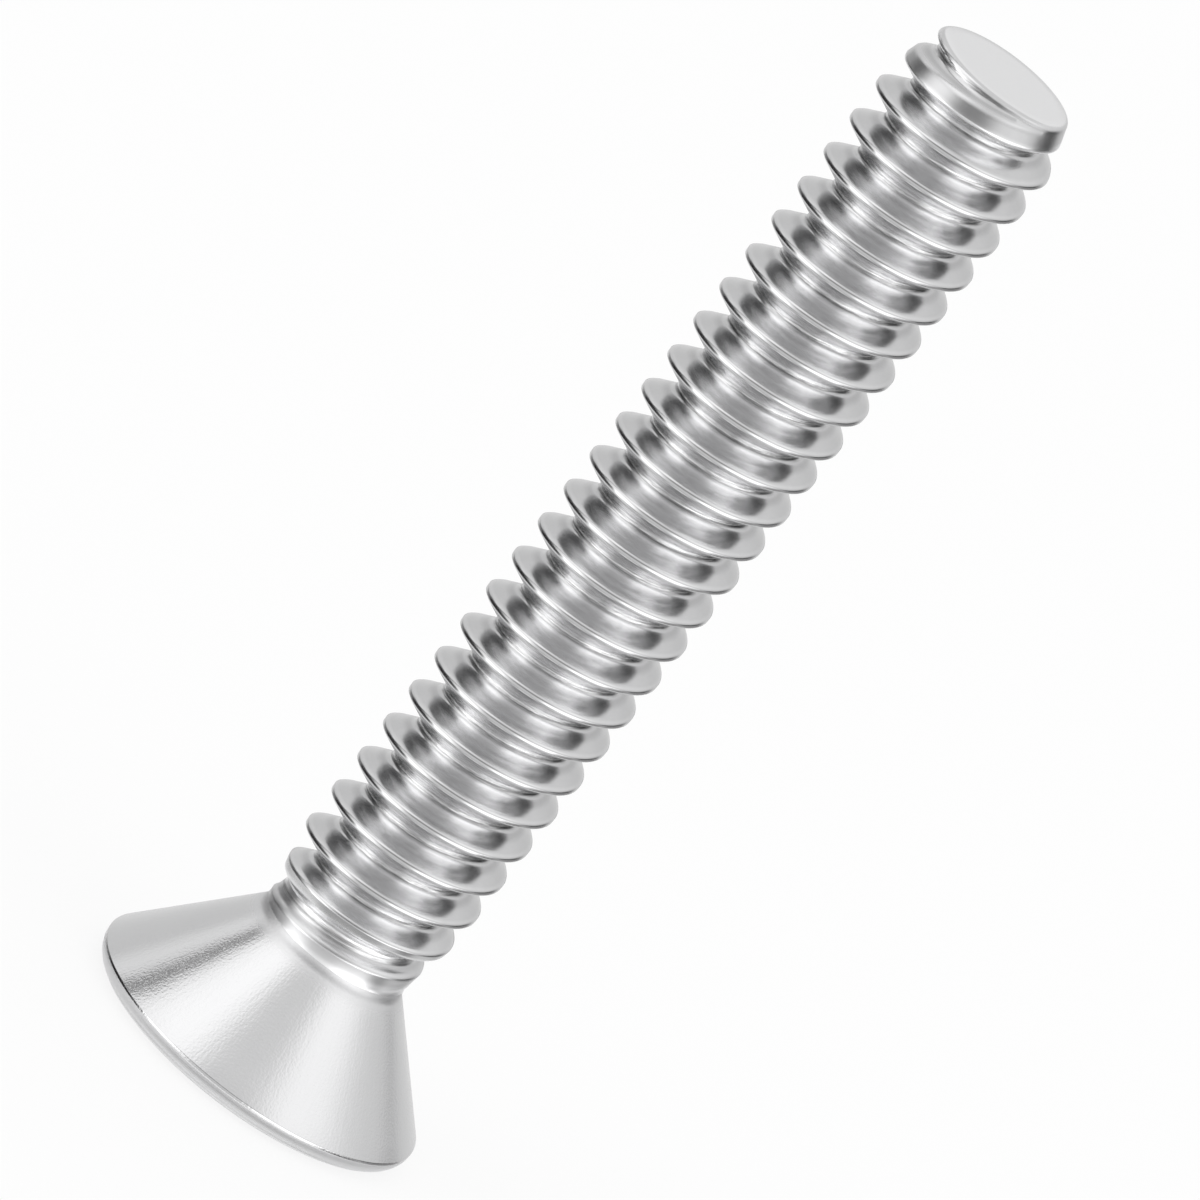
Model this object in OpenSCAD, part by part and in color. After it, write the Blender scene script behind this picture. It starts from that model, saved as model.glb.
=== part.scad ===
// Flat countersunk screw with a hexagon socket and a coarse right-hand thread.
// The screw is one forged and thread-rolled piece. It stands on its head face:
// the face lies at z = 0, the axis is Z, and the tip points up.

/* [Overall] */
// Length from the head face to the tip
screw_len = 30.87; // [20:0.01:38]

/* [Head] */
// Diameter of the widest edge, where the cone meets the rim
head_d = 9.04; // [8.6:0.02:10.4]
// Included angle of the countersunk cone
head_angle = 81; // [78:1:92]
// Height of the rim's straight edge, below the cone
rim_flat = 0.1; // [0.04:0.02:0.3]
// Radius that rounds the rim in to the head face
rim_round = 0.42; // [0.1:0.02:0.5]
// Diameter of the plain neck between the cone and the thread
neck_d = 4; // [3.8:0.02:4.4]
// Radius of the fillet between the cone and the neck
neck_fillet = 0.4; // [0.2:0.05:0.6]

/* [Socket] */
// Hexagon size across its flats
socket_af = 3.175; // [2.5:0.025:3.5]
// Depth of the hexagon walls below the head face
socket_depth = 1.9; // [1.4:0.05:2.1]
// How far the mouth chamfer reaches past the hexagon's corners
mouth_margin = 0.07; // [0.04:0.01:0.2]
// Included angle of the mouth chamfer
mouth_angle = 110; // [90:1:130]
// Included angle of the pointed socket floor
floor_angle = 130; // [118:1:160]
// Angle of a hexagon corner about the axis, from +X
socket_turn = 30; // [0:5:55]

/* [Thread] */
// Outside diameter over the thread crests
thread_d = 4.68; // [4.5:0.01:4.82]
// Distance from one turn to the next, 24 turns to the inch
pitch = 1.0583; // [0.8:0.0001:1.3]
// Included angle between the flanks of the thread
flank_angle = 60; // [55:1:65]
// Width of the flat land along the crest
crest_flat = 0.117; // [0.06:0.001:0.2]
// Radius of the rounded thread root
root_round = 0.17; // [0.1:0.01:0.18]
// Height of a ridge's middle above the head face, on the +X side
thread_phase = 0.89; // [0:0.01:1]
// Length over which the groove fades out next to the neck
root_fade = 1.1; // [0.6:0.1:2.4]
// Length over which the crest grows from the neck to full height
crest_fade = 2.1; // [1.2:0.1:3.6]

/* [Tip] */
// Diameter that the pointing cone cuts down to at the tip face
tip_d = 3.75; // [3.5:0.05:4.2]
// Length of the pointing cone
tip_len = 1.45; // [0.8:0.05:2.2]

/* [Detail] */
// Number of facets around the thread
thread_sides = 24; // [20:1:26]

/* [Hidden] */

// Round faces of the head are drawn with this many sides
$fn = 96;
// Straight pieces that stand for one rounded edge or fillet
arc_steps = 6;
// Overlap that cutting tools and joined solids get, so that no faces coincide
overlap = 0.1;
// The thread starts this much under the neck's surface
neck_step = 0.02;

head_r = head_d / 2;
neck_r = neck_d / 2;
crest_r = thread_d / 2;
tip_r = tip_d / 2;
cone_slope = tan(head_angle / 2);
// Height of the widest edge above the head face
rim_h = rim_round + rim_flat;

// Height at which the cone would meet the neck without a fillet
cone_top = rim_h + (head_r - neck_r) / cone_slope;
// Height at which the fillet runs out into the neck
neck_z = cone_top + neck_fillet * tan(head_angle / 4);

// Socket
corner_r = socket_af / 2 / cos(30);
mouth_r = corner_r + mouth_margin;
mouth_h = mouth_r / tan(mouth_angle / 2);
floor_h = corner_r / tan(floor_angle / 2);

// Thread profile, all measured from the middle of a ridge along the axis
half_flank = flank_angle / 2;
half_pitch = pitch / 2;
half_flat = crest_flat / 2;
// Axial distance from the root's middle to where its arc meets a flank
root_reach = root_round * cos(half_flank);
// Radius of the sharp V's bottom, and of the centre of the arc that rounds it
sharp_r = crest_r - (half_pitch - half_flat) / tan(half_flank);
root_centre_r = sharp_r + root_round / sin(half_flank);
root_r = root_centre_r - root_round;
flank_end = half_pitch - root_reach;
flank_mid = (half_flat + flank_end) / 2;

// Thread mesh: rows follow the helix, columns run up the screw
thread_z0 = neck_z - overlap;
thread_z1 = screw_len;
row_offsets = [-half_pitch, -flank_end, -flank_mid, -half_flat, half_flat, flank_mid, flank_end];
rows_per_turn = len(row_offsets);
first_turn = floor((thread_z0 - thread_phase) / pitch) - 2;
last_turn = ceil((thread_z1 - thread_phase) / pitch) + 2;
row_count = (last_turn - first_turn) * rows_per_turn;

// Points along an arc about [cx, cz], as [radius from the axis, height]
function arc(cx, cz, r, from, to) =
    [for (i = [0 : arc_steps]) let (a = from + (to - from) * i / arc_steps)
        [cx + r * cos(a), cz + r * sin(a)]];

// Smooth step from 0 to 1
function ease(x) = let (t = min(max(x, 0), 1)) t * t * (3 - 2 * t);

function clamp(x, low, high) = min(max(x, low), high);

// Axial distance from a height to the nearest ridge's middle, at angle a
function ridge_distance(z, a) =
    let (turns = (z - thread_phase) / pitch - a / 360)
    abs(turns - round(turns)) * pitch;

// Radius of the endless thread at axial distance u from a ridge's middle
function profile_r(u) =
    u < half_flat ? crest_r
    : u < flank_end ? crest_r - (u - half_flat) / tan(half_flank)
    : root_centre_r - sqrt(root_round * root_round - pow(half_pitch - u, 2));

// Radius of the groove's floor, which rises to the neck
function floor_r(z) = neck_r + (root_r - neck_r) * clamp((z - neck_z) / root_fade, 0, 1);

// Radius that limits the crests: they grow from the neck and the tip is pointed
function limit_r(z) = min(
    neck_r + (crest_r - neck_r) * ease((z - neck_z) / crest_fade),
    tip_r + (crest_r - tip_r) * (screw_len - z) / tip_len);

// Radius of the real, run-out and pointed thread at height z and angle a
function thread_r(z, a) =
    z <= neck_z ? neck_r - neck_step
    : min(max(profile_r(ridge_distance(z, a)), floor_r(z)), limit_r(z));

// Height of mesh row k at column i, held between the thread's two ends
function row_z(k, i) = clamp(
    thread_phase + (first_turn + floor(k / rows_per_turn) + i / thread_sides) * pitch
        + row_offsets[k % rows_per_turn],
    thread_z0, thread_z1);

// Number of the mesh point in row k and column i. Rows past an end share that end's ring.
function point_id(k, i) =
    i == thread_sides ? point_id(k + rows_per_turn, 0)
    : row_z(k, i) <= thread_z0 ? i
    : row_z(k, i) >= thread_z1 ? thread_sides + i
    : (k + 2) * thread_sides + i;

function thread_point(z, i) =
    let (a = 360 * i / thread_sides, r = thread_r(z, a))
    [r * cos(a), r * sin(a), z];

module thread() {
    points = concat(
        [for (i = [0 : thread_sides - 1]) thread_point(thread_z0, i)],
        [for (i = [0 : thread_sides - 1]) thread_point(thread_z1, i)],
        [for (k = [0 : row_count - 1], i = [0 : thread_sides - 1]) thread_point(row_z(k, i), i)]);
    walls = [for (k = [0 : row_count - 2], i = [0 : thread_sides - 1])
        let (a = point_id(k, i), b = point_id(k, i + 1),
            c = point_id(k + 1, i + 1), d = point_id(k + 1, i))
        each [if (a != d) [a, d, c], if (b != c) [a, c, b]]];
    bottom = [for (i = [0 : thread_sides - 1]) i];
    top = [for (i = [thread_sides - 1 : -1 : 0]) thread_sides + i];
    polyhedron(points = points, faces = concat(walls, [bottom, top]), convexity = 10);
}

// Solid head with its rim, cone, fillet and neck
module head_blank() {
    fillet_r = neck_r + neck_fillet;
    rotate_extrude()
        polygon(concat(
            [[0, 0]],
            arc(head_r - rim_round, rim_round, rim_round, -90, 0),
            [[head_r, rim_h]],
            arc(fillet_r, neck_z, neck_fillet, 180 + head_angle / 2, 180),
            [[0, neck_z]]));
}

// Hexagon socket: walls, pointed floor and chamfered mouth
module socket() {
    intersection() {
        rotate([0, 0, socket_turn])
            translate([0, 0, -overlap])
                cylinder(r = corner_r, h = overlap + socket_depth + floor_h, $fn = 6);
        union() {
            translate([0, 0, -overlap])
                cylinder(r = corner_r + overlap, h = overlap + socket_depth);
            translate([0, 0, socket_depth])
                cylinder(r1 = corner_r, r2 = 0, h = floor_h);
        }
    }
    cylinder(r1 = mouth_r, r2 = 0, h = mouth_h);
}

module screw() {
    color("silver")
        union() {
            difference() {
                head_blank();
                socket();
            }
            thread();
        }
}

screw();
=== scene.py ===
"""A stainless countersunk screw with a hexagon socket: its shape, its finishes and a plain pale stage.

The screw stands on its head face with its axis along Z and its tip up. All lengths are in metres.
"""

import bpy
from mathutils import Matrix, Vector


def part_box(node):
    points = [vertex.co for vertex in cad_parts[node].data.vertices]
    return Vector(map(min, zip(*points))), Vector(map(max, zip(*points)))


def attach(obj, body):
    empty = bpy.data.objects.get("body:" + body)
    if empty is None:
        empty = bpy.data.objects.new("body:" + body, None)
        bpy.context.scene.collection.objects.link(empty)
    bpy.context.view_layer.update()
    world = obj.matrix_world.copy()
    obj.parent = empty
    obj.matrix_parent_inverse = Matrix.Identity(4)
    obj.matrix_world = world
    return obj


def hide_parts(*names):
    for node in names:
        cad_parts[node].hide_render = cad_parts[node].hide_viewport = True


bl_info = {
    "name": "Countersunk socket screw",
    "version": (1, 0, 0),
    "blender": (4, 5, 0),
    "location": "3D View > Sidebar > Screw",
    "description": "Makes a thread-rolled countersunk socket screw and a plain stage for it",
    "category": "Add Mesh",
}

import math

import bmesh
import bpy
from bpy.props import FloatProperty, FloatVectorProperty, IntProperty, PointerProperty
from bpy.types import Operator, Panel, PropertyGroup
from mathutils import Matrix, Vector

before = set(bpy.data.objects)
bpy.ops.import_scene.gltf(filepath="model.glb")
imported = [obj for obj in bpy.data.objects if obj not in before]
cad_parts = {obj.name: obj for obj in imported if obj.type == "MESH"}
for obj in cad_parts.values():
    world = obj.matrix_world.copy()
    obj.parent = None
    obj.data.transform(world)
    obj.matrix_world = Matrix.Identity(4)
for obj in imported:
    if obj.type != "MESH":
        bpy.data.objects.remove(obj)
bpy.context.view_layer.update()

SCREW_LOW, SCREW_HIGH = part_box("screw")
BODY = "root"
NODE = "screw"
MM = 0.001


class ScrewSizes(PropertyGroup):
    """Sizes of the screw, which follow the ones it is made to."""

    length: FloatProperty(
        name="Length",
        description="From the head face to the tip",
        default=SCREW_HIGH.z - SCREW_LOW.z,
        unit="LENGTH",
        subtype="DISTANCE",
    )
    head_diameter: FloatProperty(
        name="Head diameter",
        description="At the widest edge, where the cone meets the rim",
        default=SCREW_HIGH.x - SCREW_LOW.x,
        unit="LENGTH",
        subtype="DISTANCE",
    )
    head_angle: FloatProperty(
        name="Head angle",
        description="Included angle of the countersunk cone",
        default=math.radians(81),
        unit="ROTATION",
        subtype="ANGLE",
    )
    rim_flat: FloatProperty(
        name="Rim edge",
        description="Height of the rim's straight edge, below the cone",
        default=0.06 * MM,
        unit="LENGTH",
        subtype="DISTANCE",
    )
    rim_round: FloatProperty(
        name="Rim rounding",
        description="Radius that rounds the rim in to the head face",
        default=0.46 * MM,
        unit="LENGTH",
        subtype="DISTANCE",
    )
    neck_diameter: FloatProperty(
        name="Neck diameter",
        description="Of the plain neck between the cone and the thread",
        default=4 * MM,
        unit="LENGTH",
        subtype="DISTANCE",
    )
    neck_fillet: FloatProperty(
        name="Neck fillet",
        description="Radius between the cone and the neck",
        default=0.4 * MM,
        unit="LENGTH",
        subtype="DISTANCE",
    )
    socket_width: FloatProperty(
        name="Socket width",
        description="Of the hexagon, across its flats",
        default=3.175 * MM,
        unit="LENGTH",
        subtype="DISTANCE",
    )
    socket_depth: FloatProperty(
        name="Socket depth",
        description="Of the hexagon's walls below the head face",
        default=1.9 * MM,
        unit="LENGTH",
        subtype="DISTANCE",
    )
    socket_turn: FloatProperty(
        name="Socket turn",
        description="Angle of a hexagon corner from the X axis",
        default=math.radians(30),
        unit="ROTATION",
        subtype="ANGLE",
    )
    mouth_margin: FloatProperty(
        name="Mouth margin",
        description="How far the mouth chamfer reaches past the hexagon's corners",
        default=0.07 * MM,
        unit="LENGTH",
        subtype="DISTANCE",
    )
    mouth_angle: FloatProperty(
        name="Mouth angle",
        description="Included angle of the mouth chamfer",
        default=math.radians(110),
        unit="ROTATION",
        subtype="ANGLE",
    )
    floor_angle: FloatProperty(
        name="Socket floor angle",
        description="Included angle of the pointed socket floor",
        default=math.radians(130),
        unit="ROTATION",
        subtype="ANGLE",
    )
    thread_diameter: FloatProperty(
        name="Thread diameter",
        description="Over the thread crests",
        default=4.68 * MM,
        unit="LENGTH",
        subtype="DISTANCE",
    )
    pitch: FloatProperty(
        name="Pitch",
        description="Distance from one turn of the thread to the next",
        default=1.0583 * MM,
        unit="LENGTH",
        subtype="DISTANCE",
    )
    flank_angle: FloatProperty(
        name="Flank angle",
        description="Included angle between the flanks of the thread",
        default=math.radians(60),
        unit="ROTATION",
        subtype="ANGLE",
    )
    crest_flat: FloatProperty(
        name="Crest flat",
        description="Width of the land along the crest",
        default=0.117 * MM,
        unit="LENGTH",
        subtype="DISTANCE",
    )
    root_round: FloatProperty(
        name="Root radius",
        description="Radius of the rounded thread root",
        default=0.17 * MM,
        unit="LENGTH",
        subtype="DISTANCE",
    )
    thread_start: FloatProperty(
        name="Thread start",
        description="Height of a ridge's middle above the head face, on the +X side",
        default=0.89 * MM,
        unit="LENGTH",
        subtype="DISTANCE",
    )
    groove_fade: FloatProperty(
        name="Groove run-out",
        description="Length over which the groove fades out next to the neck",
        default=1.1 * MM,
        unit="LENGTH",
        subtype="DISTANCE",
    )
    crest_fade: FloatProperty(
        name="Crest run-out",
        description="Length over which the crest grows from the neck to full height",
        default=2.1 * MM,
        unit="LENGTH",
        subtype="DISTANCE",
    )
    tip_diameter: FloatProperty(
        name="Tip diameter",
        description="That the pointing cone cuts down to at the tip face",
        default=3.75 * MM,
        unit="LENGTH",
        subtype="DISTANCE",
    )
    tip_length: FloatProperty(
        name="Tip length",
        description="Length of the pointing cone",
        default=1.45 * MM,
        unit="LENGTH",
        subtype="DISTANCE",
    )
    edge_round: FloatProperty(
        name="Edge rounding",
        description="Radius of the worn and rolled edges",
        default=0.035 * MM,
        unit="LENGTH",
        subtype="DISTANCE",
    )
    tip_round: FloatProperty(
        name="Tip rounding",
        description="Radius of the edge round the tip face",
        default=0.15 * MM,
        unit="LENGTH",
        subtype="DISTANCE",
    )
    sides: IntProperty(
        name="Sides",
        description="Number of columns of faces round the screw",
        default=144,
        min=24,
    )
    turn_rows: IntProperty(
        name="Rows in a turn",
        description="Rows of faces from one ridge of the thread to the next",
        default=22,
        min=8,
    )


class ScrewFinish(PropertyGroup):
    """Colour and gloss of the steel."""

    steel: FloatVectorProperty(
        name="Steel",
        description="Colour of the bare stainless steel",
        default=(0.6, 0.6, 0.605),
        subtype="COLOR",
        min=0,
        max=1,
    )
    thread_roughness: FloatProperty(
        name="Thread roughness",
        description="How much the rolled flanks blur what they mirror",
        default=0.2,
        subtype="FACTOR",
        min=0,
        max=1,
    )
    head_roughness: FloatProperty(
        name="Head roughness",
        description="How much the head's cone and neck blur what they mirror",
        default=0.17,
        subtype="FACTOR",
        min=0,
        max=1,
    )
    face_roughness: FloatProperty(
        name="Face roughness",
        description="How much the turned head face blurs what it mirrors",
        default=0.42,
        subtype="FACTOR",
        min=0,
        max=1,
    )


class ScrewStage(PropertyGroup):
    """The camera's view and the light."""

    view_width: FloatProperty(
        name="View width",
        description="Width of what the camera sees at the screw",
        default=28.5 * MM,
        unit="LENGTH",
        subtype="DISTANCE",
    )
    view_height: FloatProperty(
        name="View height",
        description="Height on the screw's axis that the camera looks at",
        default=14.435 * MM,
        unit="LENGTH",
        subtype="DISTANCE",
    )
    elevation: FloatProperty(
        name="Elevation",
        description="How far the camera looks down",
        default=math.radians(18.3),
        unit="ROTATION",
        subtype="ANGLE",
    )
    roll: FloatProperty(
        name="Roll",
        description="How far the screw leans clockwise in the picture",
        default=math.radians(37.686),
        unit="ROTATION",
        subtype="ANGLE",
    )
    floor_colour: FloatVectorProperty(
        name="Floor",
        description="Colour of the floor",
        default=(0.9, 0.9, 0.9),
        subtype="COLOR",
        min=0,
        max=1,
    )


class Term:
    """A value in a node tree. Sums, products and comparisons of terms become Math nodes."""

    def __init__(self, tree, socket):
        self.tree = tree
        self.socket = socket

    def __add__(self, other):
        return calc(self.tree, "ADD", self, other)

    def __radd__(self, other):
        return calc(self.tree, "ADD", other, self)

    def __sub__(self, other):
        return calc(self.tree, "SUBTRACT", self, other)

    def __rsub__(self, other):
        return calc(self.tree, "SUBTRACT", other, self)

    def __mul__(self, other):
        return calc(self.tree, "MULTIPLY", self, other)

    def __rmul__(self, other):
        return calc(self.tree, "MULTIPLY", other, self)

    def __truediv__(self, other):
        return calc(self.tree, "DIVIDE", self, other)

    def __gt__(self, other):
        return calc(self.tree, "GREATER_THAN", self, other)

    def within(self, low, high):
        """This value held between low and high."""
        return calc(self.tree, "MINIMUM", calc(self.tree, "MAXIMUM", self, low), high)

    def ramp(self, start, end):
        """0 at start and 1 at end, leaving both smoothly and held beyond them."""
        limits = {"Value": self, "From Min": start, "From Max": end}
        node = add_node(self.tree, "ShaderNodeMapRange", limits, interpolation_type="SMOOTHSTEP")
        return Term(self.tree, node.outputs[0])

    def one(self, operation):
        """A Math node that takes only this value."""
        return calc(self.tree, operation, self)


def feed(tree, value, socket):
    """Links a term or an output to the socket, or sets a plain value on it."""
    if isinstance(value, Term):
        value = value.socket
    if isinstance(value, bpy.types.NodeSocket):
        tree.links.new(value, socket)
    else:
        socket.default_value = value


def calc(tree, operation, *values):
    """A Math node of this operation, as a term."""
    node = tree.nodes.new("ShaderNodeMath")
    node.operation = operation
    for value, socket in zip(values, node.inputs):
        feed(tree, value, socket)
    return Term(tree, node.outputs[0])


def add_node(tree, kind, inputs=None, **settings):
    """A new node with these settings, and these values or links on its inputs."""
    node = tree.nodes.new(kind)
    for name, value in settings.items():
        setattr(node, name, value)
    for name, value in (inputs or {}).items():
        feed(tree, value, node.inputs[name])
    return node


def mix(tree, share, low, high):
    """The value that lies this share of the way from low to high."""
    node = tree.nodes.new("ShaderNodeMix")
    for value, socket in zip((share, low, high), (node.inputs[0], *node.inputs[2:4])):
        feed(tree, value, socket)
    return Term(tree, node.outputs[0])


# Rolled thread

THREAD_LENGTHS = (
    ("Length", "length"),
    ("Neck diameter", "neck_diameter"),
    ("Thread diameter", "thread_diameter"),
    ("Pitch", "pitch"),
    ("Crest flat", "crest_flat"),
    ("Root radius", "root_round"),
    ("Thread start", "thread_start"),
    ("Groove run-out", "groove_fade"),
    ("Crest run-out", "crest_fade"),
    ("Tip diameter", "tip_diameter"),
    ("Tip length", "tip_length"),
    ("Edge rounding", "edge_round"),
    ("Tip rounding", "tip_round"),
)
# How far the rows are drawn to the crests and roots, from 0 for even rows to 1
ROW_CROWDING = 0.6
TIP_ROUND_ROWS = 6
TIP_FACE_ROWS = 8
# Points closer than this are joined
WELD = 0.001 * MM


def new_group(name, floats, counts):
    """An empty Geometry Nodes tree with these named inputs, and its inputs as terms."""
    tree = bpy.data.node_groups.new(name, "GeometryNodeTree")
    sockets = tree.interface
    sockets.new_socket("Geometry", in_out="OUTPUT", socket_type="NodeSocketGeometry")
    for label in floats:
        sockets.new_socket(label, in_out="INPUT", socket_type="NodeSocketFloat")
    for label in counts:
        sockets.new_socket(label, in_out="INPUT", socket_type="NodeSocketInt")
    sockets.new_socket("Material", in_out="INPUT", socket_type="NodeSocketMaterial")
    group_in = tree.nodes.new("NodeGroupInput")
    return tree, {s.name: Term(tree, s) for s in group_in.outputs if s.name}


def thread_radius(tree, g, z, angle, neck_z):
    """Radius of the thread at height z and angle, which is given in turns."""
    half_flank = g["Flank angle"] / 2
    half_pitch = g["Pitch"] / 2
    half_flat = g["Crest flat"] / 2
    crest_r = g["Thread diameter"] / 2
    neck_r = g["Neck diameter"] / 2
    slope = half_flank.one("TANGENT")
    sharp_r = crest_r - (half_pitch - half_flat) / slope
    root_centre_r = sharp_r + g["Root radius"] / half_flank.one("SINE")
    root_r = root_centre_r - g["Root radius"]
    flank_end = half_pitch - g["Root radius"] * half_flank.one("COSINE")

    turns = (z - g["Thread start"]) / g["Pitch"] - angle
    off_ridge = (turns - turns.one("ROUND")).one("ABSOLUTE") * g["Pitch"]
    flank = crest_r - (off_ridge - half_flat) / slope
    ridge = calc(tree, "SMOOTH_MIN", crest_r, flank, g["Edge rounding"])
    off_root = half_pitch - off_ridge
    arc_square = g["Root radius"] * g["Root radius"] - off_root * off_root
    arc = root_centre_r - calc(tree, "MAXIMUM", arc_square, 0).one("SQRT")
    profile = mix(tree, off_ridge > flank_end, ridge, arc)

    past_neck = z - neck_z
    groove_floor = neck_r + (root_r - neck_r) * (past_neck / g["Groove run-out"]).within(0, 1)
    growth = past_neck.ramp(0, g["Crest run-out"])
    grown_r = neck_r + (crest_r - neck_r) * growth
    tip_r = g["Tip diameter"] / 2
    pointed_r = tip_r + (crest_r - tip_r) * (g["Length"] - z) / g["Tip length"]
    limit = calc(tree, "MINIMUM", grown_r, pointed_r)
    cut = calc(tree, "MAXIMUM", profile, groove_floor)
    return calc(tree, "SMOOTH_MIN", cut, limit, g["Edge rounding"] * growth)


def thread_tree():
    """Geometry Nodes tree of the thread's skin, from the neck's top ring to the tip's middle.

    A flat grid is bent round the screw. Its columns run up the screw and its rows follow the
    helix, crowded together on the crests and in the roots, and held between neck and tip.
    """
    floats = [label for label, _ in THREAD_LENGTHS] + ["Flank angle", "Neck height"]
    tree, g = new_group("Rolled thread", floats, ["Sides", "Rows in a turn"])
    neck_z = g["Neck height"]
    top_z = g["Length"] - g["Tip rounding"]
    first_turn = ((neck_z - g["Thread start"]) / g["Pitch"]).one("FLOOR") - 1
    last_turn = ((top_z - g["Thread start"]) / g["Pitch"]).one("CEIL")
    helix_rows = (last_turn - first_turn) * g["Rows in a turn"]
    rows = helix_rows + (TIP_ROUND_ROWS + TIP_FACE_ROWS)
    grid = add_node(
        tree,
        "GeometryNodeMeshGrid",
        {
            "Size X": g["Sides"],
            "Size Y": rows,
            "Vertices X": g["Sides"] + 1,
            "Vertices Y": rows + 1,
        },
    )
    flat = add_node(
        tree,
        "ShaderNodeSeparateXYZ",
        {"Vector": tree.nodes.new("GeometryNodeInputPosition").outputs[0]},
    )
    angle = Term(tree, flat.outputs["X"]) / g["Sides"] + 0.5
    row = (Term(tree, flat.outputs["Y"]) + rows / 2).one("ROUND")

    turn = calc(tree, "MINIMUM", row, helix_rows) / g["Rows in a turn"] + first_turn
    crowded = turn - (turn * (4 * math.pi)).one("SINE") * (ROW_CROWDING / (4 * math.pi))
    height = g["Thread start"] + g["Pitch"] * (crowded + angle)
    z = calc(tree, "MINIMUM", calc(tree, "MAXIMUM", height, neck_z), top_z)
    radius = thread_radius(tree, g, z, angle, neck_z)

    past = row - helix_rows
    quarter = past.within(0, TIP_ROUND_ROWS) * (math.pi / 2 / TIP_ROUND_ROWS)
    edge_r = radius - g["Tip rounding"] * (1 - quarter.one("COSINE"))
    to_middle = (past - TIP_ROUND_ROWS).within(0, TIP_FACE_ROWS) / TIP_FACE_ROWS
    final_r = edge_r * (1 - to_middle)
    final_z = z + g["Tip rounding"] * quarter.one("SINE")
    around = angle * (2 * math.pi)
    place = add_node(
        tree,
        "ShaderNodeCombineXYZ",
        {
            "X": final_r * around.one("COSINE"),
            "Y": final_r * around.one("SINE"),
            "Z": final_z,
        },
    )
    bent = add_node(
        tree,
        "GeometryNodeSetPosition",
        {"Geometry": grid.outputs["Mesh"], "Position": place.outputs[0]},
    )
    welded = add_node(
        tree,
        "GeometryNodeMergeByDistance",
        {"Geometry": bent.outputs[0], "Distance": WELD},
    )
    smooth = add_node(tree, "GeometryNodeSetShadeSmooth", {"Geometry": welded.outputs[0]})
    real = add_node(tree, "GeometryNodeRealizeInstances", {"Geometry": smooth.outputs[0]})
    dressed = add_node(
        tree,
        "GeometryNodeSetMaterial",
        {"Geometry": real.outputs[0], "Material": g["Material"]},
    )
    group_out = tree.nodes.new("NodeGroupOutput")
    tree.links.new(dressed.outputs[0], group_out.inputs["Geometry"])
    return tree


def thread_mesh(sizes, material):
    """The thread's skin as a plain mesh."""
    holder = bpy.data.objects.new("thread_nodes", bpy.data.meshes.new("thread_nodes"))
    bpy.context.scene.collection.objects.link(holder)
    modifier = holder.modifiers.new("Rolled thread", "NODES")
    tree = thread_tree()
    modifier.node_group = tree
    values = {label: getattr(sizes, name) for label, name in THREAD_LENGTHS}
    values["Flank angle"] = sizes.flank_angle
    values["Neck height"] = neck_height(sizes)
    values["Sides"] = sizes.sides
    values["Rows in a turn"] = sizes.turn_rows
    values["Material"] = material
    for item in tree.interface.items_tree:
        if item.in_out == "INPUT":
            modifier[item.identifier] = values[item.name]
    bpy.context.view_layer.update()
    evaluated = holder.evaluated_get(bpy.context.evaluated_depsgraph_get())
    mesh = bpy.data.meshes.new_from_object(evaluated)
    holder.modifiers.remove(modifier)
    bpy.data.objects.remove(holder)
    return mesh


# Head and socket

ARC_STEPS = 6
FILLET_STEPS = 10
EDGE_STEPS = 4
# Angle between two corners of the hexagon
SOCKET_SECTOR = math.pi / 3
# Numbers of the finishes in the screw's list of materials
ROLLED, FORGED, TURNED, PRESSED = range(4)


def neck_height(sizes):
    """Height at which the fillet runs out into the neck."""
    cone_height = (sizes.head_diameter - sizes.neck_diameter) / 2 / math.tan(sizes.head_angle / 2)
    rim_height = sizes.rim_round + sizes.rim_flat
    return rim_height + cone_height + sizes.neck_fillet * math.tan(sizes.head_angle / 4)


def socket_corner(sizes):
    """Distance of the hexagon's corners from the axis."""
    return sizes.socket_width / 2 / math.cos(SOCKET_SECTOR / 2)


def rounded(corners):
    """Points along an outline with rounded corners.

    Each corner is its radius, height, rounding, arc steps and steps to the next corner.
    """
    points = []
    last_run = 1
    for i, (x, z, rounding, steps, run) in enumerate(corners):
        here = Vector((x, z))
        if rounding:
            to_last = (Vector(corners[i - 1][:2]) - here).normalized()
            to_next = (Vector(corners[i + 1][:2]) - here).normalized()
            half = to_last.angle(to_next) / 2
            centre = here + (to_last + to_next).normalized() * (rounding / math.sin(half))
            start = here + to_last * (rounding / math.tan(half)) - centre
            end = here + to_next * (rounding / math.tan(half)) - centre
            arc = [centre + start.slerp(end, k / steps) * rounding for k in range(steps + 1)]
        else:
            arc = [here]
        points += [points[-1].lerp(arc[0], k / last_run) for k in range(1, last_run)]
        points += arc
        last_run = run
    return points


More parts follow.
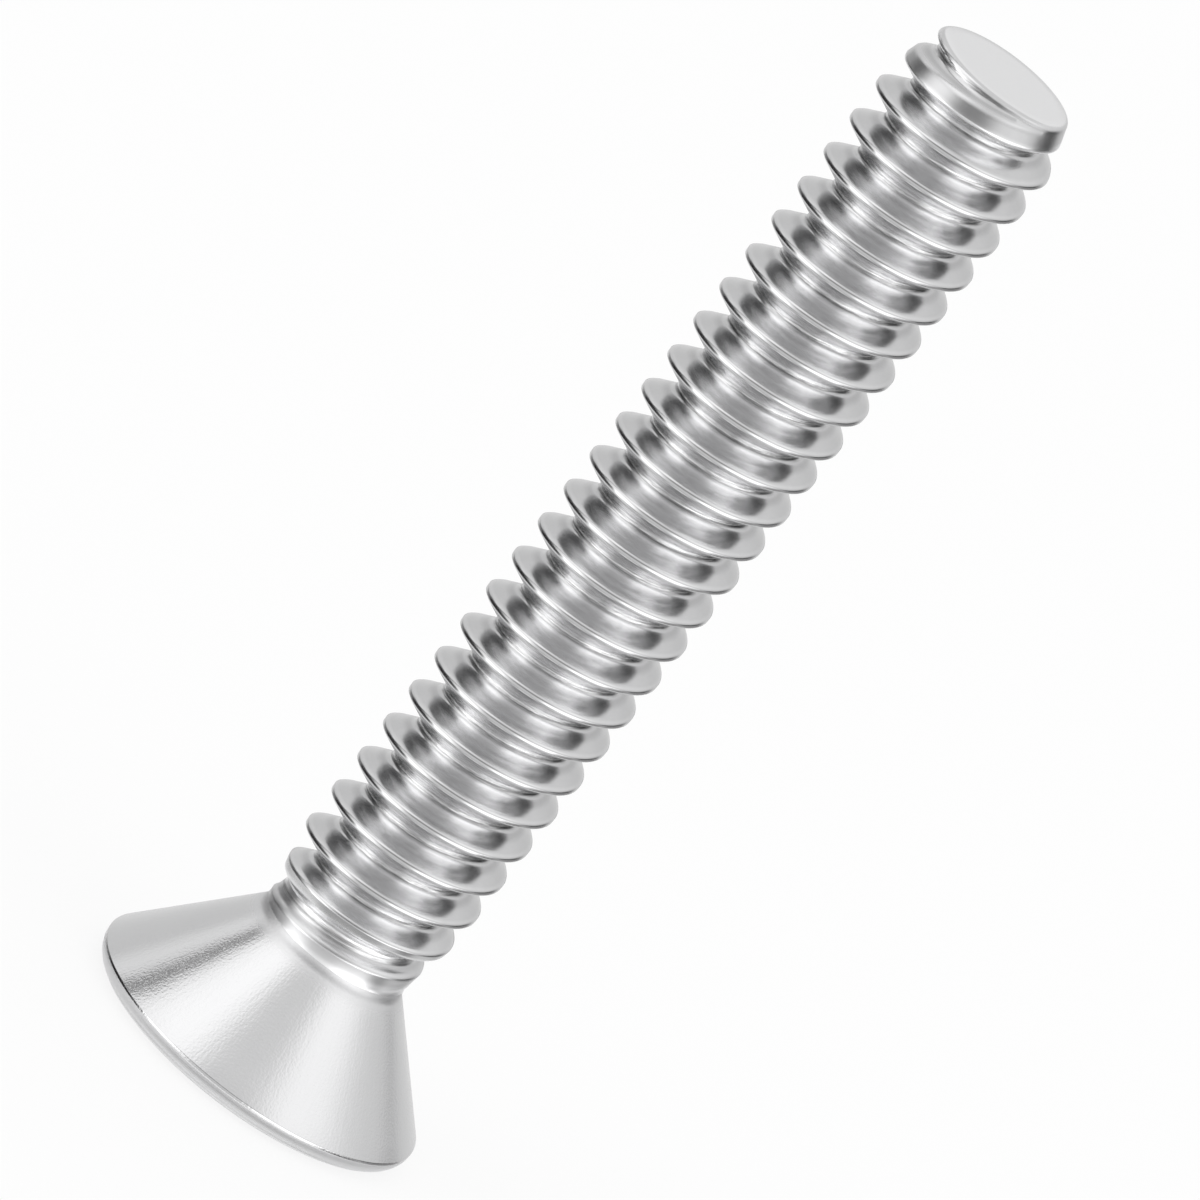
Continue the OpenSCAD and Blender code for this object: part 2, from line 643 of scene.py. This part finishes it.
def head_outline(sizes, angle):
    """Outline of the head from the neck over the cone, rim, face and socket wall to the axis."""
    neck_r = sizes.neck_diameter / 2
    head_r = sizes.head_diameter / 2
    rim_height = sizes.rim_round + sizes.rim_flat
    cone_top = rim_height + (head_r - neck_r) / math.tan(sizes.head_angle / 2)
    from_flat = (angle - sizes.socket_turn) % SOCKET_SECTOR - SOCKET_SECTOR / 2
    corner_r = socket_corner(sizes)
    wall_r = sizes.socket_width / 2 / math.cos(from_flat)
    mouth_r = corner_r + sizes.mouth_margin
    wall_z = (mouth_r - wall_r) / math.tan(sizes.mouth_angle / 2)
    floor_slope = math.tan(sizes.floor_angle / 2)
    floor_z = sizes.socket_depth + (corner_r - wall_r) / floor_slope
    point_z = sizes.socket_depth + corner_r / floor_slope
    edge = sizes.edge_round
    corners = (
        (neck_r, neck_height(sizes), 0, 0, 1),
        (neck_r, cone_top, sizes.neck_fillet, FILLET_STEPS, 8),
        (head_r, rim_height, edge, ARC_STEPS, 2),
        (head_r, 0, sizes.rim_round, ARC_STEPS, 6),
        (mouth_r, 0, edge / 2, EDGE_STEPS, 2),
        (wall_r, wall_z, edge / 2, EDGE_STEPS, 5),
        (wall_r, floor_z, edge, EDGE_STEPS, 6),
        (0, point_z, 0, 0, 1),
    )
    return rounded(corners)


def head_mesh(sizes):
    """Skin of the head and socket, open at the neck's top ring, as a bmesh."""
    mesh = bmesh.new()
    columns = []
    for i in range(sizes.sides):
        angle = 2 * math.pi * i / sizes.sides
        outline = head_outline(sizes, angle)
        columns.append(
            [mesh.verts.new((p.x * math.cos(angle), p.x * math.sin(angle), p.y)) for p in outline]
        )
    for i, column in enumerate(columns):
        beside = columns[(i + 1) % sizes.sides]
        for k in range(len(column) - 1):
            mesh.faces.new((column[k], column[k + 1], beside[k + 1], beside[k]))
    return mesh


def screw_mesh(sizes, thread, finishes):
    """The whole screw as one closed mesh: the head's skin welded to the thread's."""
    mesh = head_mesh(sizes)
    mesh.from_mesh(thread)
    bmesh.ops.remove_doubles(mesh, verts=mesh.verts, dist=WELD)
    for face in mesh.faces:
        face.smooth = True
        face.material_index = finish_index(sizes, face.calc_center_median())
    made = bpy.data.meshes.new("screw_body")
    mesh.to_mesh(made)
    mesh.free()
    for finish in finishes:
        made.materials.append(finish)
    return made


def finish_index(sizes, middle):
    """The finish of the face that has this middle."""
    across = math.hypot(middle.x, middle.y)
    if middle.z > neck_height(sizes):
        return ROLLED
    if across < socket_corner(sizes) + sizes.mouth_margin:
        return PRESSED
    if middle.z < sizes.rim_round:
        return TURNED
    return FORGED


# Finishes

# Tone of each finish, on the steel's own colour, and depth of its fine marks
ROLLED_TONE = 0.86
FORGED_TONE = 0.955
TURNED_TONE_AND_PAINTED_LIGHT = 1.22
# The turned face is lighter steel, and its tone is raised further as painted light, standing in for
# light the face lacks from below
PRESSED_TONE = 0.94
ROLLED_DEPTH = 0.013 * MM
FORGED_DEPTH = 0.006 * MM
TURNED_DEPTH = 0.003 * MM
PRESSED_DEPTH = 0.003 * MM
# How far the lathe's rings stretch a highlight
RING_STRETCH = 0.85

# Places on the rolled thread are in turns, measured up from the middle of a ridge, so the middle of the
# root is half a turn away. These pairs say where a part begins and where it is complete.
ROOT_EDGE = (0.38, 0.463)
LOWER_EDGE = (0.1, -0.025)
# Where the painted shade on the upper flank begins and where it is complete
FLANK_SHADE_EDGE = (0.22, 0.32)
# Bands: middle, and half widths at which the band is complete and gone. The flank and root bands are
# painted highlights. The root line is left out of the painted flank shade, so it shows as a lighter
# line.
FLANK_HIGHLIGHT_BAND = (-0.25, 0.094, 0.25)
ROOT_HIGHLIGHT_BAND = (-0.36, 0.067, 0.178)
# A line left out of the painted flank shade, which shows as a painted highlight line
ROOT_HIGHLIGHT_LINE = (0.4, 0.025, 0.075)
# What each part adds to the tone. The first two are painted highlights, and the next two are painted
# shade on the upper flank and in the root.
FLANK_HIGHLIGHT_TONE = 0.4
ROOT_HIGHLIGHT_TONE = 0.42
FLANK_SHADE_TONE = -0.16
# Painted shade: the root of the groove is made darker
ROOT_SHADE_TONE = -0.04
CREST_TONE = 0.1
NECK_TONE = 0.15
STREAK_TONE = 0.75
# Level of the streaks at which they leave the tone as it is
STREAK_LEVEL = 0.45
# The tone at which the steel is nearly white
TOP_TONE = 1.62

# Distances below the crest at which its bare land ends and the streaks are complete
BARE_LAND = 0.04 * MM
FULL_STREAKS = 0.14 * MM
# Lengths over which the marks fade at the tip face and at the start of the pointed tip
FACE_FADE = 0.2 * MM
TIP_FADE = 0.3 * MM


def new_finish(name):
    """A steel material, its tree and its shader."""
    material = bpy.data.materials.new(name)
    material.use_nodes = True
    tree = material.node_tree
    shader = tree.nodes["Principled BSDF"]
    shader.inputs["Metallic"].default_value = 1
    return material, tree, shader


def polar(tree):
    """Object coordinates as terms: distance from the axis, angle in turns, and height."""
    coords = tree.nodes.new("ShaderNodeTexCoord")
    xyz = add_node(tree, "ShaderNodeSeparateXYZ", {"Vector": coords.outputs["Object"]})
    x, y, z = (Term(tree, socket) for socket in xyz.outputs)
    across = (x * x + y * y).one("SQRT")
    angle = calc(tree, "ARCTAN2", y, x) / (2 * math.pi)
    return across, angle, z, coords.outputs["Object"]


def noise(tree, x, y, detail=2):
    """A flat noise pattern over two terms, with features about 1 wide."""
    vector = add_node(tree, "ShaderNodeCombineXYZ", {"X": x, "Y": y})
    inputs = {"Vector": vector.outputs[0], "Scale": 1, "Detail": detail}
    made = add_node(tree, "ShaderNodeTexNoise", inputs, noise_dimensions="2D")
    return Term(tree, made.outputs[0])


def grain(tree, coords, scale, detail=2):
    """A fine even grain all through the steel, with about this many features in a metre."""
    inputs = {"Vector": coords, "Scale": scale, "Detail": detail}
    return Term(tree, add_node(tree, "ShaderNodeTexNoise", inputs).outputs[0])


def band(place, middle, full, gone):
    """1 nearer to the middle than full, and 0 farther from it than gone."""
    return (place - middle).one("ABSOLUTE").ramp(gone, full)


def shade(tree, shader, steel, tone, roughness, height, depth):
    """Feeds the shader: steel times a tone, a roughness, and a bump of this height and depth."""
    colour = add_node(tree, "ShaderNodeMix", {"Factor": 1}, data_type="RGBA", blend_type="MULTIPLY")
    colour_sockets = [s for s in colour.inputs if s.type == "RGBA"]
    colour_sockets[0].default_value = (*steel, 1)
    grey = add_node(tree, "ShaderNodeCombineColor", {"Red": tone, "Green": tone, "Blue": tone})
    tree.links.new(grey.outputs[0], colour_sockets[1])
    out = next(s for s in colour.outputs if s.type == "RGBA")
    tree.links.new(out, shader.inputs["Base Color"])
    feed(tree, roughness, shader.inputs["Roughness"])
    bump = add_node(tree, "ShaderNodeBump", {"Height": height, "Distance": depth})
    tree.links.new(bump.outputs[0], shader.inputs["Normal"])


def crest_radius(tree, sizes, z):
    """Radius of the thread's crest at height z, which grows from the neck and shrinks at the tip."""
    crest_r = sizes.thread_diameter / 2
    neck_r = sizes.neck_diameter / 2
    tip_r = sizes.tip_diameter / 2
    growth = (z - neck_height(sizes)).ramp(0, sizes.crest_fade)
    pointed_r = tip_r + (sizes.length - z) * ((crest_r - tip_r) / sizes.tip_length)
    return calc(tree, "MINIMUM", pointed_r, neck_r + growth * (crest_r - neck_r))


def rolled_steel(sizes, finish):
    """Thread finish: painted highlight bands and painted shade bands, with fine streaks that follow the
    helix, and a bare crest.
    """
    material, tree, shader = new_finish("rolled_steel")
    across, angle, z, coords = polar(tree)
    turns = (z - sizes.thread_start) / sizes.pitch - angle
    turn = turns.one("ROUND")
    place = turns - turn
    along = turn + angle

    off_crest = (crest_radius(tree, sizes, z) - across).ramp(BARE_LAND, FULL_STREAKS)
    crest = 1 - off_crest
    off_face = (sizes.length - z).ramp(0, FACE_FADE)
    near_neck = (1 - (z - neck_height(sizes)) / sizes.crest_fade).within(0, 1)
    tip_crest = (z - sizes.length + sizes.tip_length).ramp(0, TIP_FADE) * crest

    root = place.one("ABSOLUTE").ramp(*ROOT_EDGE)
    streaked = calc(tree, "MAXIMUM", place.ramp(*LOWER_EDGE), root) * off_crest * off_face
    # Painted highlights: lighter steel in a band on the lower flank and in one by the root
    flank_highlight = band(place, *FLANK_HIGHLIGHT_BAND)
    root_highlight = band(place, *ROOT_HIGHLIGHT_BAND)
    # Painted shade: darker steel on the upper flank towards the root, except on a line at the root's
    # edge
    flank_shade = place.ramp(*FLANK_SHADE_EDGE) * (1 - band(place, *ROOT_HIGHLIGHT_LINE))

    # The streaks are thin across the thread and long along it
    even = grain(tree, coords, 6000)
    coarse = noise(tree, place * 12, along * 4)
    fine = noise(tree, place * 30, along * 28)
    streaks = ((coarse * 0.65 + fine * 0.35 - 0.5) * 3.5 + 0.5).within(0, 1)

    height = streaks * streaked * 0.4 + even * 0.03
    dull = calc(tree, "MAXIMUM", near_neck * 0.15, streaked * 0.06) + tip_crest * 0.1
    roughness = finish.thread_roughness - 0.02 + even * 0.04 + dull
    # Painted highlights and painted shade, added to the steel's tone
    painted_highlights = flank_highlight * FLANK_HIGHLIGHT_TONE + root_highlight * ROOT_HIGHLIGHT_TONE
    painted_shade = flank_shade * FLANK_SHADE_TONE + root * ROOT_SHADE_TONE
    streak_tone = (streaks - STREAK_LEVEL) * streaked * STREAK_TONE
    tone = ROLLED_TONE + (painted_highlights + painted_shade) * off_face + streak_tone
    tone = tone + crest * CREST_TONE + near_neck * NECK_TONE + even * 0.05
    shade(tree, shader, finish.steel, tone.within(0, TOP_TONE), roughness, height, ROLLED_DEPTH)
    return material


def forged_steel(sizes, finish):
    """Cone and neck finish: a satin skin with a faint grain drawn along the cone."""
    material, tree, shader = new_finish("forged_steel")
    _, angle, z, coords = polar(tree)
    drawn = noise(tree, angle * 260, z / MM * 1.4, 3)
    cloud = grain(tree, coords, 900, 3)
    even = grain(tree, coords, 16000)
    near_neck = (neck_height(sizes) - z).ramp(1.5 * sizes.neck_fillet, 0)
    height = even * 0.7 + drawn * 0.3
    roughness = finish.head_roughness - 0.04 + cloud * 0.06 + even * 0.03 + near_neck * 0.32
    tone = FORGED_TONE + cloud * 0.04 + drawn * 0.03 + near_neck * 0.12
    shade(tree, shader, finish.steel, tone, roughness, height, FORGED_DEPTH)
    return material


def turned_steel(sizes, finish):
    """Head face finish: rings left by the lathe, which stretch each highlight to a star."""
    material, tree, shader = new_finish("turned_steel")
    across, angle, z, coords = polar(tree)
    outward = (across - z) / MM
    rings = noise(tree, outward * 26, angle * 2, 4)
    scratches = noise(tree, outward * 60, angle * 9)
    even = grain(tree, coords, 5000)
    height = rings * 0.6 + scratches * 0.4
    roughness = finish.face_roughness - 0.03 + rings * 0.06
    # Painted light: the face's tone is partly its own lighter steel and partly raised to stand in for
    # light
    tone = TURNED_TONE_AND_PAINTED_LIGHT + rings * 0.05 + even * 0.03
    shade(tree, shader, finish.steel, tone, roughness, height, TURNED_DEPTH)
    shader.inputs["Anisotropic"].default_value = RING_STRETCH
    tangent = add_node(tree, "ShaderNodeTangent", direction_type="RADIAL", axis="Z")
    tree.links.new(tangent.outputs[0], shader.inputs["Tangent"])
    return material


def pressed_steel(sizes, finish):
    """Socket finish: fine lines drawn by the punch, along the walls and to the floor's point."""
    material, tree, shader = new_finish("pressed_steel")
    _, angle, z, coords = polar(tree)
    drawn = noise(tree, angle * 120, z / MM * 0.8, 3)
    even = grain(tree, coords, 6000)
    height = drawn * 0.6 + even * 0.4
    roughness = finish.face_roughness - 0.04 + drawn * 0.06
    tone = PRESSED_TONE + drawn * 0.06
    shade(tree, shader, finish.steel, tone, roughness, height, PRESSED_DEPTH)
    return material


# Stage

# Focal length and sensor width in millimetres, for a view that is nearly a parallel projection
LENS = 1000
SENSOR = 36
FLOOR_DROP = 0.02 * MM
FLOOR_SIDE = 3.0
# Share of plain white in what the camera sees of the floor. The rest shows the screw's shadow.
FLOOR_WHITE = 0.8


def new_floor(colour):
    """A wide pale floor, which is left out of the steel's reflections."""
    mesh = bpy.data.meshes.new("floor")
    half = FLOOR_SIDE / 2
    corners = [(-half, -half), (half, -half), (half, half), (-half, half)]
    mesh.from_pydata([(x, y, SCREW_LOW.z - FLOOR_DROP) for x, y in corners], [], [(0, 1, 2, 3)])
    floor = bpy.data.objects.new("floor", mesh)
    bpy.context.scene.collection.objects.link(floor)
    mesh.materials.append(floor_material(colour))
    floor.visible_glossy = False


def seen_directly(tree):
    """1 for what the camera sees, also in metal or through glass, and 0 for light on the object."""
    path = tree.nodes.new("ShaderNodeLightPath")
    camera, glossy, through = (
        Term(tree, path.outputs[f"Is {kind} Ray"]) for kind in ("Camera", "Glossy", "Transmission")
    )
    return (camera + glossy + through).within(0, 1)


def floor_material(colour):
    """Matt and mostly white to the camera, so that only the shadow shows, and clear from below."""
    material = bpy.data.materials.new("floor")
    material.use_nodes = True
    tree = material.node_tree
    tree.nodes.clear()
    matt = add_node(tree, "ShaderNodeBsdfDiffuse", {"Color": (*colour, 1)})
    white = add_node(tree, "ShaderNodeEmission", {"Color": (1, 1, 1, 1), "Strength": 1})
    lifted = add_node(tree, "ShaderNodeMixShader", {"Fac": seen_directly(tree) * FLOOR_WHITE})
    tree.links.new(matt.outputs[0], lifted.inputs[1])
    tree.links.new(white.outputs[0], lifted.inputs[2])
    clear = tree.nodes.new("ShaderNodeBsdfTransparent")
    back = tree.nodes.new("ShaderNodeNewGeometry").outputs["Backfacing"]
    one_sided = add_node(tree, "ShaderNodeMixShader", {"Fac": back})
    tree.links.new(lifted.outputs[0], one_sided.inputs[1])
    tree.links.new(clear.outputs[0], one_sided.inputs[2])
    out = tree.nodes.new("ShaderNodeOutputMaterial")
    tree.links.new(one_sided.outputs[0], out.inputs["Surface"])
    return material


# Panels of the light tent: azimuth and elevation of the middle, half width, half height and soft edge
# in degrees, and brightness. Azimuth 0 is the camera's side and 90 the right.
TENT_PANELS = (
    (180, 60, 75, 30, 40, 1.1),
    (180, 22, 12, 7, 12, 1.35),
    (0, 76, 60, 20, 30, 1.02),
    (-66, 54, 32, 20, 36, 1.65),
    (70, 54, 32, 20, 40, 1.52),
    (-61, 20, 22, 22, 26, 1.35),
    (52, 18, 26, 16, 26, 0.98),
    (-54, -12, 20, 16, 24, 2.4),
    (58, -8, 28, 10, 20, 2.3),
    (46, -14, 25, 14, 20, 2.3),
    (-4, 20, 28, 18, 28, 0.22),
    (0, -12, 12, 12, 20, 0.85),
    (0, -46, 54, 12, 18, 0.42),
    (-106, -2, 20, 20, 18, 0.14),
    (-132, -14, 16, 12, 16, 0.25),
    (-99, -18, 29, 8, 8, 0.02),
    (118, -2, 20, 14, 20, 0),
    (132, -18, 20, 8, 10, 0.35),
    (88, -28, 14, 11, 13, 0.1),
    (-117, 30, 8, 14, 14, 1.15),
    (-102, 30, 4, 40, 6, 0.03),
)
TENT_WHITE = 0.85

# A fan of light far below, which the turned face mirrors: elevation of its middle, half height and
# soft edge in degrees, number of blades, mean brightness and how far the blades differ from it
FAN_ELEVATION = -70
FAN_HALF = 10
FAN_SOFT = 16
FAN_BLADES = 4
FAN_LIGHT = 0.95
FAN_SWING = 0.65


def window(angle, middle, half, soft):
    """1 within half of the middle, falling smoothly to 0 over the soft edge, in degrees."""
    away = calc(angle.tree, "WRAP", angle - middle, 180, -180).one("ABSOLUTE")
    return away.ramp(half + soft / 2, half - soft / 2)


def tent_light(tree):
    """Brightness of the light tent in each direction: white cloth with lit and dark panels."""
    coords = tree.nodes.new("ShaderNodeTexCoord")
    xyz = add_node(tree, "ShaderNodeSeparateXYZ", {"Vector": coords.outputs["Generated"]})
    x, y, z = (Term(tree, socket) for socket in xyz.outputs)
    azimuth = calc(tree, "ARCTAN2", x, -1 * y).one("DEGREES")
    elevation = z.within(-1, 1).one("ARCSINE").one("DEGREES")
    light = TENT_WHITE
    for around, up, half_width, half_height, soft, strength in TENT_PANELS:
        share = window(azimuth, around, half_width, soft) * window(elevation, up, half_height, soft)
        light = mix(tree, share, light, strength)
    blades = (azimuth * math.radians(FAN_BLADES)).one("COSINE")
    below = window(elevation, FAN_ELEVATION, FAN_HALF, FAN_SOFT)
    return mix(tree, below, light, FAN_LIGHT + blades * FAN_SWING)


def set_world():
    """A light tent round the screw. The camera sees plain white in its place."""
    world = bpy.data.worlds.new("light_tent")
    bpy.context.scene.world = world
    world.use_nodes = True
    # The panels are wide and soft, so their light needs no aimed samples, which take much longer
    world.cycles.sampling_method = "NONE"
    tree = world.node_tree
    shader = tree.nodes["Background"]
    shader.inputs["Color"].default_value = (1, 1, 1, 1)
    camera = Term(tree, tree.nodes.new("ShaderNodeLightPath").outputs["Is Camera Ray"])
    feed(tree, mix(tree, camera, tent_light(tree), 1), shader.inputs["Strength"])


def add_camera(stage):
    """A camera that looks down at the screw and is rolled, so that the screw leans."""
    camera = bpy.data.objects.new("camera", bpy.data.cameras.new("camera"))
    bpy.context.scene.collection.objects.link(camera)
    camera.data.lens = LENS
    camera.data.sensor_width = SENSOR
    distance = stage.view_width * LENS / SENSOR
    back = Vector((0, -math.cos(stage.elevation), math.sin(stage.elevation)))
    upright = back.to_track_quat("Z", "Y").to_matrix()
    camera.location = Vector((0, 0, stage.view_height)) + back * distance
    camera.rotation_euler = (upright @ Matrix.Rotation(stage.roll, 3, "Z")).to_euler()
    bpy.context.scene.camera = camera


class SCREW_OT_make_screw(Operator):
    """Makes the screw as one closed piece in place of its plain solid"""

    bl_idname = "screw.make_screw"
    bl_label = "Make screw"

    def execute(self, context):
        sizes = context.scene.screw_sizes
        finish = context.scene.screw_finish
        makers = (rolled_steel, forged_steel, turned_steel, pressed_steel)
        finishes = [make(sizes, finish) for make in makers]
        thread = thread_mesh(sizes, finishes[ROLLED])
        mesh = screw_mesh(sizes, thread, finishes)
        bpy.data.meshes.remove(thread)
        piece = bpy.data.objects.new("screw_body", mesh)
        context.scene.collection.objects.link(piece)
        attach(piece, BODY)
        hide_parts(NODE)
        return {"FINISHED"}


class SCREW_OT_set_stage(Operator):
    """Sets the floor, the light round the screw and the camera"""

    bl_idname = "screw.set_stage"
    bl_label = "Set stage"

    def execute(self, context):
        stage = context.scene.screw_stage
        new_floor(stage.floor_colour)
        set_world()
        add_camera(stage)
        context.scene.view_settings.view_transform = "Standard"
        return {"FINISHED"}


class SCREW_PT_panel(Panel):
    """Buttons and values of the screw"""

    bl_label = "Screw"
    bl_idname = "SCREW_PT_panel"
    bl_space_type = "VIEW_3D"
    bl_region_type = "UI"
    bl_category = "Screw"

    def draw(self, context):
        layout = self.layout
        layout.operator(SCREW_OT_make_screw.bl_idname)
        layout.operator(SCREW_OT_set_stage.bl_idname)
        scene = context.scene
        for group in (scene.screw_sizes, scene.screw_finish, scene.screw_stage):
            box = layout.box()
            for name in group.__annotations__:
                box.prop(group, name)


CLASSES = (
    ScrewSizes,
    ScrewFinish,
    ScrewStage,
    SCREW_OT_make_screw,
    SCREW_OT_set_stage,
    SCREW_PT_panel,
)


def register():
    for kind in CLASSES:
        bpy.utils.register_class(kind)
    bpy.types.Scene.screw_sizes = PointerProperty(type=ScrewSizes)
    bpy.types.Scene.screw_finish = PointerProperty(type=ScrewFinish)
    bpy.types.Scene.screw_stage = PointerProperty(type=ScrewStage)


def unregister():
    del bpy.types.Scene.screw_stage
    del bpy.types.Scene.screw_finish
    del bpy.types.Scene.screw_sizes
    for kind in reversed(CLASSES):
        bpy.utils.unregister_class(kind)


def main():
    register()
    bpy.ops.screw.make_screw()
    bpy.ops.screw.set_stage()


if __name__ == "__main__":
    main()
